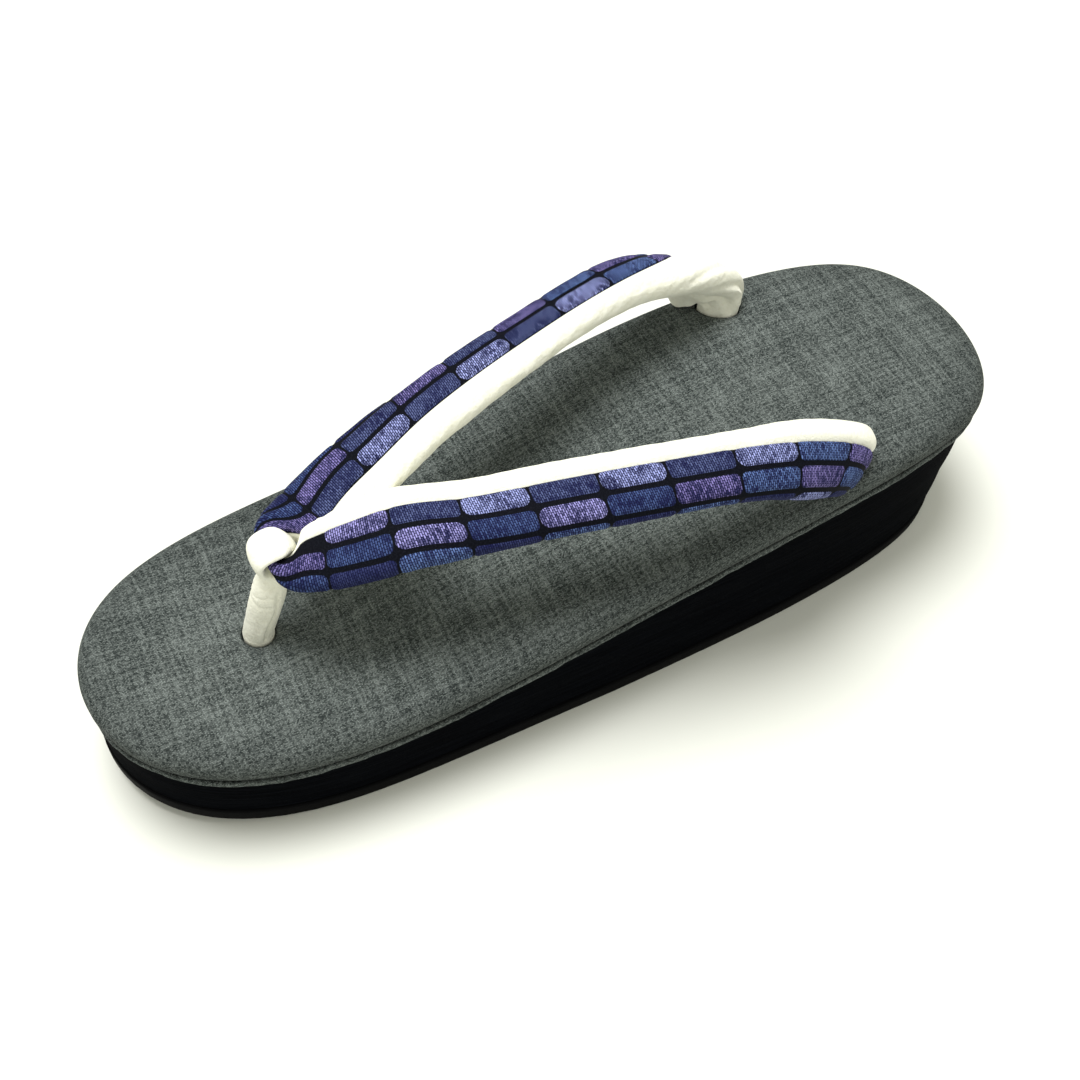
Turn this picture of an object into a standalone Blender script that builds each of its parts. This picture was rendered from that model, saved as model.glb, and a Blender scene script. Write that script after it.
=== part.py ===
"""Zori sandal standing on its sole, toe at -X and heel at +X, in metres.

The sole is three stacked layers cut to one outline. The strap is a V-shaped padded tube with a cloth
cover over its outer half. A cord rises from the front hole and loops round the middle of the V.
"""

import math

import bmesh
import bpy
import numpy as np

MM = 0.001

# Sizes that drive the sole.
LENGTH = 245.0 * MM
HALF_WIDTH = 38.1 * MM
EDGE_HEIGHT = 45.4 * MM
OUTSOLE_THICKNESS = 5.0 * MM
FOOTBED_THICKNESS = 10.6 * MM
SHOULDER_DROP = 4.6 * MM
SHOULDER_REACH = 4.2 * MM
TOE_SPRING = 6.0 * MM
SPRING_SHARE = 0.25
WALL_INSET = 0.8 * MM
HEEL_UNDERCUT = 0.5 * MM
EDGE_ROUNDING = 0.9 * MM
WRAP_INSET = 0.3 * MM

# Sizes that drive the strap and the toe post.
CLEARANCE = 0.3 * MM
COVER_WALL = 1.2 * MM
SECTION_FULLNESS = 2.4
POST_X = 0.1714 * LENGTH
POST_RADIUS = 3.8 * MM
POCKET_DEPTH = 13.5 * MM
LOOP_X = 0.2 * LENGTH
LOOP_Z = 1.6325 * HALF_WIDTH
LOOP_HALF_LENGTH = 0.1076 * HALF_WIDTH
LOOP_HALF_HEIGHT = 0.1024 * HALF_WIDTH
LOOP_HALF_BREADTH = 0.105 * HALF_WIDTH
LOOP_HALF_THICKNESS = 0.0341 * HALF_WIDTH

# The outline and the edge line, by share of LENGTH from the toe. Fullness is a share of HALF_WIDTH,
# edge is the height of the footbed's lower edge as a share of EDGE_HEIGHT, and inset is how far the
# floor outline lies inside the upper one, as a share of HALF_WIDTH.
SOLE = {
    "share": (0.0, 0.1, 0.2, 0.3, 0.4, 0.5, 0.6, 0.7, 0.8, 0.9, 1.0),
    "fullness": (1.583, 1.377, 1.210, 1.090, 1.021, 1.000, 1.020, 1.075, 1.175, 1.374, 1.738),
    "edge": (0.604, 0.519, 0.497, 0.531, 0.616, 0.740, 0.865, 0.955, 0.999, 0.990, 0.921),
    "inset": (0.043, 0.034, 0.026, 0.017, 0.009, 0.000, 0.007, 0.014, 0.022, 0.029, 0.036),
}

# Footbed edge from below: inset from the outline and height above the lower edge, both as shares of
# FOOTBED_THICKNESS. It makes a thin bead, a shallow groove and the start of the shoulder.
FOOTBED_EDGE = {
    "inset": (0.12, 0.03, 0.00, 0.03, 0.13, 0.14, 0.06, 0.01),
    "rise": (0.00, 0.02, 0.11, 0.19, 0.23, 0.29, 0.35, 0.41),
}

# One strap arm by station, as the two edges of its section: x as a share of LENGTH from the toe, y
# and z as shares of HALF_WIDTH, and half the thickness as a share of HALF_WIDTH.
ARM_COLUMNS = ("inner_x", "inner_y", "inner_z", "outer_x", "outer_y", "outer_z", "half_thickness")
ARM = (
    (0.209, -0.079, 1.640, 0.191, -0.079, 1.625, 0.058),
    (0.209, 0.000, 1.640, 0.191, 0.000, 1.625, 0.058),
    (0.211, 0.068, 1.648, 0.191, 0.126, 1.617, 0.063),
    (0.221, 0.075, 1.664, 0.197, 0.218, 1.604, 0.079),
    (0.243, -0.015, 1.705, 0.218, 0.320, 1.612, 0.094),
    (0.276, -0.040, 1.770, 0.258, 0.423, 1.677, 0.101),
    (0.312, -0.010, 1.825, 0.303, 0.514, 1.759, 0.105),
    (0.364, 0.125, 1.877, 0.362, 0.614, 1.824, 0.106),
    (0.416, 0.236, 1.929, 0.416, 0.703, 1.866, 0.105),
    (0.521, 0.428, 2.010, 0.521, 0.869, 1.900, 0.100),
    (0.633, 0.591, 2.005, 0.626, 1.016, 1.869, 0.118),
    (0.693, 0.627, 1.937, 0.671, 1.047, 1.727, 0.126),
    (0.744, 0.680, 1.795, 0.698, 1.012, 1.590, 0.130),
    (0.773, 0.695, 1.620, 0.713, 0.945, 1.500, 0.120),
    (0.772, 0.665, 1.505, 0.730, 0.865, 1.465, 0.098),
)

# Where the cover starts and ends round the section, in degrees from the outer edge towards the top,
# by share of the arm's length.
COVER = {
    "share": (0.0, 0.08, 0.16, 0.25, 0.35, 0.6, 1.0),
    "start": (-12.0, -14.5, -22.0, -37.5, -45.0, -51.0, -53.0),
    "end": (150.0, 130.0, 114.0, 109.0, 110.0, 110.0, 106.0),
}

# The slot that takes an arm's end, on the footbed: centre, half sizes and heading.
SLOT_X = 0.751 * LENGTH
SLOT_Y = 0.7507 * HALF_WIDTH
SLOT_HALF_LENGTH = 0.147 * HALF_WIDTH
SLOT_HALF_WIDTH = 0.0919 * HALF_WIDTH
SLOT_HEADING = math.radians(-38.0)

# How far the stations of an arm's end lie above the footbed, as a share of POCKET_DEPTH.
SLOT_RISES = (0.05, 0.0, -0.222, -0.444, -0.963)

# The outsole and the wedge from below: how far the edge is rounded off, as a share of EDGE_ROUNDING,
# and the height as a share of the layer's own.
OUTSOLE_EDGE = {
    "rounding": (1.0, 0.28, 0.0, 0.0, 0.28, 1.0),
    "rise": (0.0, 0.04, 0.16, 0.84, 0.96, 1.0),
}
MIDSOLE_EDGE = {
    "rounding": (1.0, 0.22, 0.0, 0.0, 0.0, 0.22, 1.0),
    "rise": (0.0, 0.012, 0.05, 0.5, 0.95, 0.988, 1.0),
}

# The toe post above the footbed: height and lean as shares of the way from its hole to the middle of
# the loop, and radius as a share of POST_RADIUS. Below the first row it goes straight down.
POST = {
    "rise": (-0.007, 0.079, 0.197, 0.328, 0.550, 0.655, 0.747, 0.852),
    "lean": (0.0, 0.087, 0.233, 0.385, 0.651, 0.776, 0.873, 0.927),
    "radius": (1.00, 1.04, 1.05, 1.02, 1.00, 0.90, 0.82, 0.80),
}


def clear_scene():
    for item in list(bpy.data.objects):
        bpy.data.objects.remove(item, do_unlink=True)


def material(name, colour, roughness, sheen=0.0):
    made = bpy.data.materials.new(name)
    made.use_nodes = True
    shader = made.node_tree.nodes["Principled BSDF"]
    shader.inputs["Base Color"].default_value = (*colour, 1.0)
    shader.inputs["Roughness"].default_value = roughness
    shader.inputs["Sheen Weight"].default_value = sheen
    return made


def smooth_curve(at, values):
    """A natural cubic through the points, as a function of one number or of an array."""
    at = np.array(at, float)
    values = np.array(values, float)
    count = len(at)
    step = np.diff(at)
    system = np.eye(count)
    right = np.zeros(count)
    for i in range(1, count - 1):
        system[i, i - 1] = step[i - 1]
        system[i, i] = 2.0 * (step[i - 1] + step[i])
        system[i, i + 1] = step[i]
        right[i] = 6.0 * ((values[i + 1] - values[i]) / step[i] - (values[i] - values[i - 1]) / step[i - 1])
    bend = np.linalg.solve(system, right)

    def value(where):
        i = np.clip(np.searchsorted(at, where) - 1, 0, count - 2)
        left = (at[i + 1] - where) / step[i]
        rest = 1.0 - left
        curved = ((left**3 - left) * bend[i] + (rest**3 - rest) * bend[i + 1]) * step[i] ** 2 / 6.0
        return left * values[i] + rest * values[i + 1] + curved

    return value


fullness_at = smooth_curve(SOLE["share"], SOLE["fullness"])
edge_share_at = smooth_curve(SOLE["share"], SOLE["edge"])


def edge_z(x):
    """Height of the footbed's lower edge, x from the toe."""
    return edge_share_at(np.clip(np.asarray(x) / LENGTH, 0.0, 1.0)) * EDGE_HEIGHT


def top_z(x):
    return edge_z(x) + FOOTBED_THICKNESS


def floor_z(x):
    """Height of the outsole's underside: flat, then a slow curve up at the toe."""
    share = np.asarray(x) / LENGTH
    return TOE_SPRING * np.clip(1.0 - share / SPRING_SHARE, 0.0, 1.0) ** 2


def outline(level, inset, count):
    """Points round the sole, at a level from 0 at the floor to 1 at the footbed, moved inwards."""
    turn = np.arange(count) * 2.0 * np.pi / count
    share = (1.0 - np.cos(turn)) / 2.0
    inside = np.interp(share, SOLE["share"], SOLE["inset"]) * (1.0 - level)
    x = share * (LENGTH - HEEL_UNDERCUT * (1.0 - level))
    y = np.sin(turn) * HALF_WIDTH * (fullness_at(share) - inside)
    along_x = np.roll(x, -1) - np.roll(x, 1)
    along_y = np.roll(y, -1) - np.roll(y, 1)
    size = np.hypot(along_x, along_y)
    return np.column_stack((x + inset * along_y / size, y - inset * along_x / size))


def ring_of(flat, height):
    return np.column_stack((flat[:, 0], flat[:, 1], height))


def mesh_object(name, bm, look, angle=35.0):
    bmesh.ops.recalc_face_normals(bm, faces=bm.faces)
    data = bpy.data.meshes.new(name)
    bm.to_mesh(data)
    bm.free()
    made = bpy.data.objects.new(name, data)
    bpy.context.scene.collection.objects.link(made)
    if look is not None:
        data.materials.append(look)
    data.shade_smooth()
    data.set_sharp_from_angle(angle=math.radians(angle))
    return made


def to_row_frame(points):
    """From x measured at the toe to the frame with its origin at mid-length."""
    moved = np.array(points, float)
    moved[:, 0] -= LENGTH / 2.0
    return moved


def skin_rings(bm, rings):
    """Joins rings of equally many points with quads, and returns the rings' vertices."""
    made = [[bm.verts.new(point) for point in to_row_frame(ring)] for ring in rings]
    for lower, upper in zip(made[:-1], made[1:]):
        count = len(lower)
        for i in range(count):
            j = (i + 1) % count
            bm.faces.new((lower[i], lower[j], upper[j], upper[i]))
    return made


def cap_across(bm, ring):
    """Closes a ring that is symmetric in y with strips from side to side."""
    count = len(ring)
    half = count // 2
    bm.faces.new((ring[0], ring[1], ring[count - 1]))
    for i in range(1, half - 1):
        bm.faces.new((ring[i], ring[i + 1], ring[count - i - 1], ring[count - i]))
    bm.faces.new((ring[half - 1], ring[half], ring[half + 1]))


def cap_fan(bm, ring):
    centre = np.mean([vertex.co for vertex in ring], axis=0)
    middle = bm.verts.new(centre)
    for i, vertex in enumerate(ring):
        bm.faces.new((vertex, ring[(i + 1) % len(ring)], middle))


def layered_solid(name, rings, look):
    bm = bmesh.new()
    made = skin_rings(bm, rings)
    cap_across(bm, made[0])
    cap_across(bm, made[-1])
    return mesh_object(name, bm, look)


def outsole_rings(count):
    rings = []
    for rounding, rise in zip(OUTSOLE_EDGE["rounding"], OUTSOLE_EDGE["rise"]):
        level = 0.12 * rise
        flat = outline(level, WALL_INSET * level + rounding * EDGE_ROUNDING, count)
        rings.append(ring_of(flat, floor_z(flat[:, 0]) + rise * OUTSOLE_THICKNESS))
    return rings


def midsole_rings(count):
    rings = []
    low = OUTSOLE_THICKNESS + CLEARANCE
    for rounding, share in zip(MIDSOLE_EDGE["rounding"], MIDSOLE_EDGE["rise"]):
        level = 0.12 + 0.88 * share
        inset = WALL_INSET * level + WRAP_INSET + rounding * EDGE_ROUNDING
        flat = outline(level, inset, count)
        below = floor_z(flat[:, 0]) + low
        above = edge_z(flat[:, 0]) - CLEARANCE
        rings.append(ring_of(flat, below + share * (above - below)))
    return rings


def footbed_rings(count):
    rings = []
    for inset, rise in zip(FOOTBED_EDGE["inset"], FOOTBED_EDGE["rise"]):
        flat = outline(1.0, inset * FOOTBED_THICKNESS, count)
        rings.append(ring_of(flat, edge_z(flat[:, 0]) + rise * FOOTBED_THICKNESS))
    for degrees in (18.0, 36.0, 54.0, 72.0, 90.0):
        turn = math.radians(degrees)
        flat = outline(1.0, SHOULDER_REACH * (1.0 - math.cos(turn)), count)
        drop = SHOULDER_DROP * (1.0 - math.sin(turn))
        rings.append(ring_of(flat, top_z(flat[:, 0]) - drop))
    return rings


def rounded(angle, half_long, half_thick):
    """Point of a full oval section: along the long axis, and across it."""
    c = np.cos(angle)
    s = np.sin(angle)
    power = 2.0 / SECTION_FULLNESS
    long_way = half_long * np.sign(c) * np.abs(c) ** power
    thick_way = half_thick * np.sign(s) * np.abs(s) ** power
    return np.column_stack((long_way, thick_way))


def inwards(angle, half_long, half_thick, depth):
    """The same section moved in by a depth, square to its surface."""
    nudge = 0.01
    ahead = rounded(angle + nudge, half_long, half_thick)
    behind = rounded(angle - nudge, half_long, half_thick)
    along = ahead - behind
    size = np.hypot(along[:, 0], along[:, 1])[:, None]
    normal = np.column_stack((along[:, 1], -along[:, 0])) / size
    return rounded(angle, half_long, half_thick) - depth * normal


def arm_stations(count):
    """Centre, long axis, thin axis, half sizes and share of the path, at each station of one arm."""
    table = dict(zip(ARM_COLUMNS, np.array(ARM).T * HALF_WIDTH))
    stretch = LENGTH / HALF_WIDTH
    inner = np.column_stack((table["inner_x"] * stretch, table["inner_y"], table["inner_z"]))
    outer = np.column_stack((table["outer_x"] * stretch, table["outer_y"], table["outer_z"]))
    thick = table["half_thickness"]
    middle = (inner + outer) / 2.0
    run = np.concatenate(([0.0], np.cumsum(np.linalg.norm(np.diff(middle, axis=0), axis=1))))
    at = np.linspace(0.0, run[-1], count)
    inner = np.column_stack([smooth_curve(run, inner[:, k])(at) for k in range(3)])
    outer = np.column_stack([smooth_curve(run, outer[:, k])(at) for k in range(3)])
    thick = smooth_curve(run, thick)(at)
    middle = (inner + outer) / 2.0
    along = np.gradient(middle, axis=0)
    wide = outer - inner
    half = np.linalg.norm(wide, axis=1) / 2.0
    wide /= 2.0 * half[:, None]
    thin = np.cross(along, wide)
    thin /= np.linalg.norm(thin, axis=1)[:, None]
    return middle, wide, thin, half, thick, at / run[-1]


def slot_stations():
    """The straight end of an arm, from just above the footbed down into the slot."""
    wide = np.array((-math.cos(SLOT_HEADING), -math.sin(SLOT_HEADING), 0.0))
    thin = np.array((-math.sin(SLOT_HEADING), math.cos(SLOT_HEADING), 0.0))
    top = float(top_z(SLOT_X))
    middles = []
    for rise in SLOT_RISES:
        middles.append((SLOT_X, SLOT_Y, top + rise * POCKET_DEPTH))
    count = len(middles)
    half = np.full(count, SLOT_HALF_LENGTH)
    thick = np.full(count, SLOT_HALF_WIDTH)
    wides = np.tile(wide, (count, 1))
    thins = np.tile(thin, (count, 1))
    return np.array(middles), wides, thins, half, thick, np.ones(count)


def section_points(flat, middle, wide, thin):
    return middle + flat[:, :1] * wide + flat[:, 1:] * thin


def lining_section(half, thick, start, end):
    """Full section, sunk by the cover's wall and a clearance between the two cover edges."""
    sunk = inwards(np.linspace(start, end, 10), half, thick, COVER_WALL + CLEARANCE)
    bare = rounded(np.linspace(end, start + 2.0 * np.pi, 12), half, thick)
    return np.vstack((sunk, bare))


def cover_section(half, thick, start, end):
    slack = CLEARANCE / (0.5 * half)
    angles = np.linspace(start + slack, end - slack, 10)
    outside = rounded(angles, half, thick)
    inside = inwards(angles, half, thick, COVER_WALL)[::-1]
    return np.vstack((outside, inside))


def joined(first, second, keep):
    """Stations of the arched run followed by those in the slot."""
    return [np.concatenate((a, b[:keep])) for a, b in zip(first, second)]


def arm_rings(section, keep):
    middle, wide, thin, half, thick, share = joined(arm_stations(28), slot_stations(), keep)
    rings = []
    for i in range(len(middle)):
        start = math.radians(np.interp(share[i], COVER["share"], COVER["start"]))
        end = math.radians(np.interp(share[i], COVER["share"], COVER["end"]))
        flat = section(half[i], thick[i], start, end)
        rings.append(section_points(flat, middle[i], wide[i], thin[i]))
    return rings


def mirrored_arms(name, rings, look):
    """One arm, cut at the middle plane and mirrored, so that both arms are one solid."""
    bm = bmesh.new()
    made = skin_rings(bm, rings)
    cap_fan(bm, made[0])
    cap_fan(bm, made[-1])
    strap = mesh_object(name, bm, look, 40.0)
    mirror = strap.modifiers.new("both_arms", "MIRROR")
    mirror.use_axis[0] = False
    mirror.use_axis[1] = True
    mirror.use_bisect_axis[1] = True
    mirror.use_clip = True
    mirror.merge_threshold = 0.00002
    return strap


def joined_arms(name, rings, look):
    """Two whole arms grown together where they cross, each starting a little inside the other."""
    heart = np.mean(rings[0], axis=0)
    far_rings = [heart + 0.8 * (rings[0] - heart)] + rings[1:]
    near_rings = [ring * (1.0, -1.0, 1.0) for ring in far_rings]
    arms = []
    for title, arm in ((name, far_rings), (name + "_near_tool", near_rings)):
        bm = bmesh.new()
        made = skin_rings(bm, arm)
        cap_fan(bm, made[0])
        cap_fan(bm, made[-1])
        arms.append(mesh_object(title, bm, look, 40.0))
    hide_tool(arms[1])
    boolean(arms[0], arms[1], "UNION")
    return arms[0]


def tube(bm, middles, wides, thins, half, thick, closed, count=20):
    """A swept oval. A closed one joins its last ring to its first."""
    angles = np.arange(count) * 2.0 * np.pi / count
    rings = []
    for i in range(len(middles)):
        flat = np.column_stack((half[i] * np.cos(angles), thick[i] * np.sin(angles)))
        rings.append(section_points(flat, middles[i], wides[i], thins[i]))
    if not closed:
        made = skin_rings(bm, rings)
        cap_fan(bm, made[0])
        cap_fan(bm, made[-1])
        return
    made = skin_rings(bm, rings + [rings[0]])
    for first, last in zip(made[0], made[-1]):
        bmesh.ops.weld_verts(bm, targetmap={last: first})


def post_barrel(look):
    bm = bmesh.new()
    top = float(top_z(POST_X))
    way_up = LOOP_Z - top
    way_back = LOOP_X - POST_X
    rise = np.array(POST["rise"]) * way_up
    count = 20
    at = np.linspace(0.0, 1.0, count) ** 0.85 * (rise[-1] + POCKET_DEPTH) - POCKET_DEPTH
    lean = np.interp(at, rise, POST["lean"]) * way_back
    radius = np.interp(at, rise, POST["radius"]) * POST_RADIUS
    middles = np.column_stack((POST_X + lean, np.zeros(count), top + at))
    wides = np.tile((1.0, 0.0, 0.0), (count, 1))
    thins = np.tile((0.0, 1.0, 0.0), (count, 1))
    tube(bm, middles, wides, thins, radius, radius, False, 18)
    return mesh_object("toe_post", bm, look, 50.0)


def post_loop(look):
    """A flat cord round the middle of the V, wide in front and on top, narrow in the crotch."""
    bm = bmesh.new()
    count = 24
    turn = np.arange(count) * 2.0 * np.pi / count
    tilt = math.radians(8.0)
    along = np.array((math.cos(tilt), 0.0, math.sin(tilt)))
    upward = np.array((-math.sin(tilt), 0.0, math.cos(tilt)))
    flat = rounded(turn, LOOP_HALF_LENGTH, LOOP_HALF_HEIGHT)
    centre = np.array((LOOP_X, 0.0, LOOP_Z))
    middles = centre + flat[:, :1] * along + flat[:, 1:] * upward
    outward = middles - centre
    outward /= np.linalg.norm(outward, axis=1)[:, None]
    across = np.tile((0.0, 1.0, 0.0), (count, 1))
    rear = np.clip(np.cos(turn), 0.0, 1.0) ** 0.7
    half = LOOP_HALF_BREADTH * (1.0 - 0.525 * rear)
    thick = np.full(count, LOOP_HALF_THICKNESS)
    tube(bm, middles, across, outward, half, thick, True, 12)
    return mesh_object("loop_tool", bm, look, 50.0)


def prism_tool(name, flat, low, high):
    bm = bmesh.new()
    rings = [ring_of(flat, np.full(len(flat), height)) for height in (low, high)]
    made = skin_rings(bm, rings)
    cap_fan(bm, made[0])
    cap_fan(bm, made[-1])
    tool = mesh_object(name, bm, None)
    hide_tool(tool)
    return tool


def hide_tool(tool):
    tool.hide_render = True
    tool.display_type = "WIRE"


def boolean(target, tool, operation):
    change = target.modifiers.new(operation.lower() + "_" + tool.name, "BOOLEAN")
    change.operation = operation
    change.solver = "EXACT"
    change.object = tool


def hole_tools():
    """The toe-post hole and the two strap slots, from above the footbed down into the midsole."""
    turn = np.arange(32) * 2.0 * np.pi / 32
    radius = POST_RADIUS + CLEARANCE
    circle = np.column_stack((POST_X + radius * np.cos(turn), radius * np.sin(turn)))
    low = float(top_z(POST_X)) - POCKET_DEPTH - CLEARANCE
    tools = [prism_tool("post_hole_tool", circle, low, low + 2.2 * POCKET_DEPTH)]
    oval = rounded(turn, SLOT_HALF_LENGTH, SLOT_HALF_WIDTH)
    oval = oval * (1.0 + CLEARANCE / np.hypot(oval[:, 0], oval[:, 1]))[:, None]
    cosine = math.cos(SLOT_HEADING)
    sine = math.sin(SLOT_HEADING)
    low = float(top_z(SLOT_X)) - POCKET_DEPTH - CLEARANCE
    for name, side in (("far_slot_tool", 1.0), ("near_slot_tool", -1.0)):
        x = SLOT_X + oval[:, 0] * cosine - oval[:, 1] * sine
        y = side * (SLOT_Y + oval[:, 0] * sine + oval[:, 1] * cosine)
        tools.append(prism_tool(name, np.column_stack((x, y)), low, low + 2.2 * POCKET_DEPTH))
    return tools


def build():
    rubber = material("black_rubber", (0.010, 0.010, 0.012), 0.75)
    wedge_cloth = material("black_wedge_cloth", (0.008, 0.009, 0.013), 0.8, 0.2)
    grey_cloth = material("grey_heathered_cloth", (0.085, 0.105, 0.100), 0.85, 0.3)
    felt = material("white_felt", (0.82, 0.80, 0.72), 0.9, 0.4)
    brocade = material("woven_block_cloth", (0.035, 0.045, 0.150), 0.6, 0.3)

    layered_solid("outsole", outsole_rings(88), rubber)
    midsole = layered_solid("midsole", midsole_rings(88), wedge_cloth)
    footbed = layered_solid("footbed", footbed_rings(88), grey_cloth)
    for tool in hole_tools():
        boolean(midsole, tool, "DIFFERENCE")
        boolean(footbed, tool, "DIFFERENCE")

    joined_arms("strap_lining", arm_rings(lining_section, 5), felt)
    mirrored_arms("strap_cover", arm_rings(cover_section, 3), brocade)

    post = post_barrel(felt)
    loop = post_loop(felt)
    hide_tool(loop)
    boolean(post, loop, "UNION")


clear_scene()
build()
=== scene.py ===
"""Zori sandal: dense cloth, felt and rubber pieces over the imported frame, with camera and light."""

import math

import bmesh
import bpy
import numpy as np
from mathutils import Matrix, Vector


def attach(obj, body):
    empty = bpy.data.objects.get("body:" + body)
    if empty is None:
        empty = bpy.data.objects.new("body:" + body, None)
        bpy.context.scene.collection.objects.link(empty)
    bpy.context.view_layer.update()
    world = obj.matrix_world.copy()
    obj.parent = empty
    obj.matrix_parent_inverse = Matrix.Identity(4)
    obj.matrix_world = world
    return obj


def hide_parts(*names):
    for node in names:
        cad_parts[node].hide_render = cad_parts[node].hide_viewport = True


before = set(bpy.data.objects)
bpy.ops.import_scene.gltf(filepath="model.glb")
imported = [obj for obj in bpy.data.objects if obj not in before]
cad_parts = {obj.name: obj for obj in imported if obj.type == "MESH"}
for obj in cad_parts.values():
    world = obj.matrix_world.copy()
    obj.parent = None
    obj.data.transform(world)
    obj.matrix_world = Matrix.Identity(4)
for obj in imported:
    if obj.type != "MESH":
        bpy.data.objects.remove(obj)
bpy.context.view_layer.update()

MM = 0.001

# How many points go round the footbed.
RIM_COUNT = 720

# Sizes of the sole, the strap and the toe post.
LENGTH = 245.0 * MM
HALF_WIDTH = 38.1 * MM
EDGE_HEIGHT = 45.4 * MM
OUTSOLE_THICKNESS = 5.0 * MM
FOOTBED_THICKNESS = 10.6 * MM
SHOULDER_DROP = 4.6 * MM
SHOULDER_REACH = 4.2 * MM
TOE_SPRING = 6.0 * MM
SPRING_SHARE = 0.25
WALL_INSET = 0.8 * MM
HEEL_UNDERCUT = 0.5 * MM
EDGE_ROUNDING = 0.9 * MM
WRAP_INSET = 0.3 * MM
CLEARANCE = 0.3 * MM
COVER_WALL = 1.2 * MM
SECTION_FULLNESS = 2.4
POST_X = 0.1714 * LENGTH
POST_RADIUS = 3.8 * MM
POCKET_DEPTH = 13.5 * MM
LOOP_X = 0.2 * LENGTH
LOOP_Z = 1.6325 * HALF_WIDTH
LOOP_HALF_LENGTH = 0.1076 * HALF_WIDTH
LOOP_HALF_HEIGHT = 0.1024 * HALF_WIDTH
LOOP_HALF_BREADTH = 0.105 * HALF_WIDTH
LOOP_HALF_THICKNESS = 0.0341 * HALF_WIDTH

# The sole by share of LENGTH from the toe: how full the outline is beside an ellipse, the height of
# the footbed's lower edge as a share of EDGE_HEIGHT, and how far the outline at the floor lies
# inside the one at the footbed, as a share of HALF_WIDTH.
SOLE = {
    "share": (0.0, 0.1, 0.2, 0.3, 0.4, 0.5, 0.6, 0.7, 0.8, 0.9, 1.0),
    "fullness": (1.583, 1.377, 1.210, 1.090, 1.021, 1.000, 1.020, 1.075, 1.175, 1.374, 1.738),
    "edge": (0.604, 0.519, 0.497, 0.531, 0.616, 0.740, 0.865, 0.955, 0.999, 0.990, 0.921),
    "inset": (0.043, 0.034, 0.026, 0.017, 0.009, 0.000, 0.007, 0.014, 0.022, 0.029, 0.036),
}

# From one groove of the tread to the next, in millimetres.
GROOVE_PITCH = 5.2

# The outline's level at the top of the outsole, from 0 at the floor to 1 at the footbed.
RUBBER_LEVEL = 0.12

# Footbed edge from below: inset from the outline and height above the lower edge, both as shares of
# FOOTBED_THICKNESS.
FOOTBED_EDGE = {
    "inset": (0.12, 0.03, 0.00, 0.03, 0.13, 0.14, 0.06, 0.01),
    "rise": (0.00, 0.02, 0.11, 0.19, 0.23, 0.29, 0.35, 0.41),
}

# The far strap arm by station from the middle: x, y and z of its section's inner edge, then of its
# outer edge, then half its thickness. Each x is a share of LENGTH from the toe, and the other
# numbers are shares of HALF_WIDTH.
ARM = (
    (0.209, -0.079, 1.640, 0.191, -0.079, 1.625, 0.058),
    (0.209, 0.000, 1.640, 0.191, 0.000, 1.625, 0.058),
    (0.211, 0.068, 1.648, 0.191, 0.126, 1.617, 0.063),
    (0.219, 0.056, 1.664, 0.197, 0.218, 1.604, 0.079),
    (0.234, -0.050, 1.700, 0.218, 0.320, 1.612, 0.094),
    (0.276, -0.040, 1.770, 0.258, 0.423, 1.677, 0.101),
    (0.312, -0.010, 1.825, 0.303, 0.514, 1.759, 0.105),
    (0.364, 0.125, 1.877, 0.362, 0.614, 1.824, 0.106),
    (0.416, 0.236, 1.929, 0.416, 0.703, 1.866, 0.105),
    (0.521, 0.428, 2.010, 0.521, 0.869, 1.900, 0.100),
    (0.633, 0.591, 2.005, 0.626, 1.016, 1.869, 0.118),
    (0.693, 0.627, 1.937, 0.671, 1.047, 1.727, 0.126),
    (0.744, 0.680, 1.795, 0.698, 1.012, 1.590, 0.130),
    (0.773, 0.695, 1.620, 0.713, 0.945, 1.500, 0.120),
    (0.772, 0.665, 1.505, 0.730, 0.865, 1.465, 0.098),
)

# Where the cover starts and ends round the section, in degrees from the outer edge towards the top,
# by share of the arm's length. The two arms are sewn a little differently.
COVER = {
    "share": (0.0, 0.05, 0.10, 0.15, 0.20, 0.30, 0.60, 0.82, 0.92, 1.0),
    "near_start": (-12.0, -13.6, -16.4, -21.0, -29.0, -41.0, -51.0, -52.0, -52.6, -53.0),
    "far_start": (-12.0, -13.6, -16.4, -21.0, -29.0, -41.0, -51.0, -50.0, -38.0, -12.0),
    "near_end": (178.0, 142.0, 110.0, 112.0, 113.0, 109.0, 110.0, 108.0, 111.0, 114.0),
    "far_end": (178.0, 172.0, 147.0, 129.0, 117.0, 108.0, 111.0, 101.0, 68.0, 50.0),
}

# The slot that takes an arm's end: its middle on the footbed, its half sizes and its direction, and
# the heights of the stations that go into it, as shares of POCKET_DEPTH above the footbed.
SLOT_X = 0.751 * LENGTH
SLOT_Y = 0.7507 * HALF_WIDTH
SLOT_HALF_LENGTH = 0.147 * HALF_WIDTH
SLOT_HALF_WIDTH = 0.0919 * HALF_WIDTH
SLOT_COSINE = math.cos(math.radians(-38.0))
SLOT_SINE = math.sin(math.radians(-38.0))
SLOT_RISES = (0.05, 0.0, -0.222, -0.444, -0.963)

# How many of those stations the cover goes down into the slot with the lining.
COVER_SLOT_STATIONS = 3

# The distance along an arm at its first station, in millimetres, as the chart below counts it.
FIRST_RUN = 3.0

# How far the near arm bulges towards the heel at its end, the share of its run at which that
# starts, and how far the far arm's underside hangs down at its end.
NEAR_END_REACH = 2.2 * MM
NEAR_END_FROM = 0.86
FAR_END_HANG = 2.8 * MM

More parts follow.
